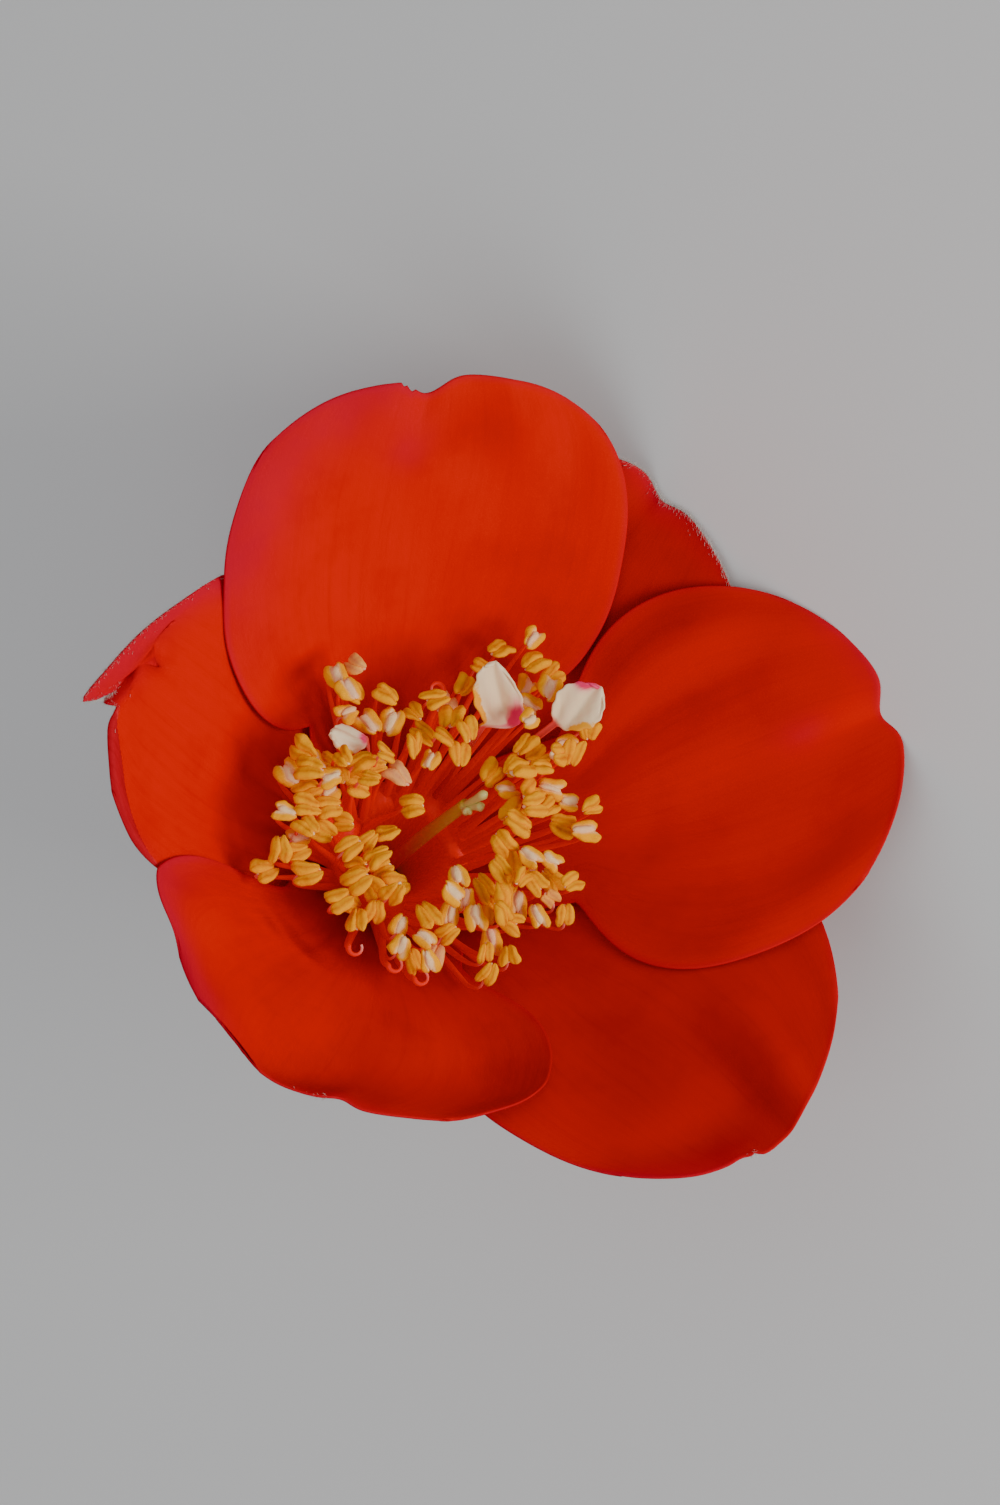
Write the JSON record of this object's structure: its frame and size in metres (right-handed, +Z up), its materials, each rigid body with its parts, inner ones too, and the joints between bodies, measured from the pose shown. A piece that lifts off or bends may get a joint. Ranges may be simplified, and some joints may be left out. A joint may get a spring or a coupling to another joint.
{
  "type": "camellia flower",
  "caption": "Single red camellia flower, picked: spreading scarlet petals round a ring of red filaments with yellow anthers, lying on its cut stalk and petal backs.",
  "frame": {"origin": "on the surface it lies on, under the middle of the flower's box", "axes": "+Z up from the surface, +Y along the flower's longest extent, +X towards the side that the open flower leans to"},
  "size_m": [0.0678, 0.0756, 0.0579],
  "materials": {
    "petal": "soft satin petal, scarlet with crimson edges and faint veins",
    "stamens": "red filaments paling to pink, dusty golden anthers",
    "pistil": "smooth olive-yellow, slightly waxy",
    "petaloid": "soft cream blade streaked with pink",
    "sepal": "brown-green scale with fine silky hair",
    "bracteole": "brown scale with fine silky hair",
    "stalk": "green-brown young stalk, pale where it is cut"
  },
  "bodies": {
    "root": {"receptacle": "stalk", "stamens": "stamens", "pistil": "pistil", "petal_top": "petal", "petal_back": "petal", "petal_right": "petal", "petal_lower_right": "petal", "petal_lower_left": "petal", "petal_left": "petal", "sepal_inner_1": "sepal", "sepal_inner_2": "sepal", "sepal_inner_3": "sepal", "sepal_outer_1": "sepal", "sepal_outer_2": "sepal", "bracteole_1": "bracteole", "bracteole_2": "bracteole", "petaloid_large": "petaloid", "petaloid_small": "petaloid", "petaloid_slim": "petaloid"}
  },
  "joints": []
}
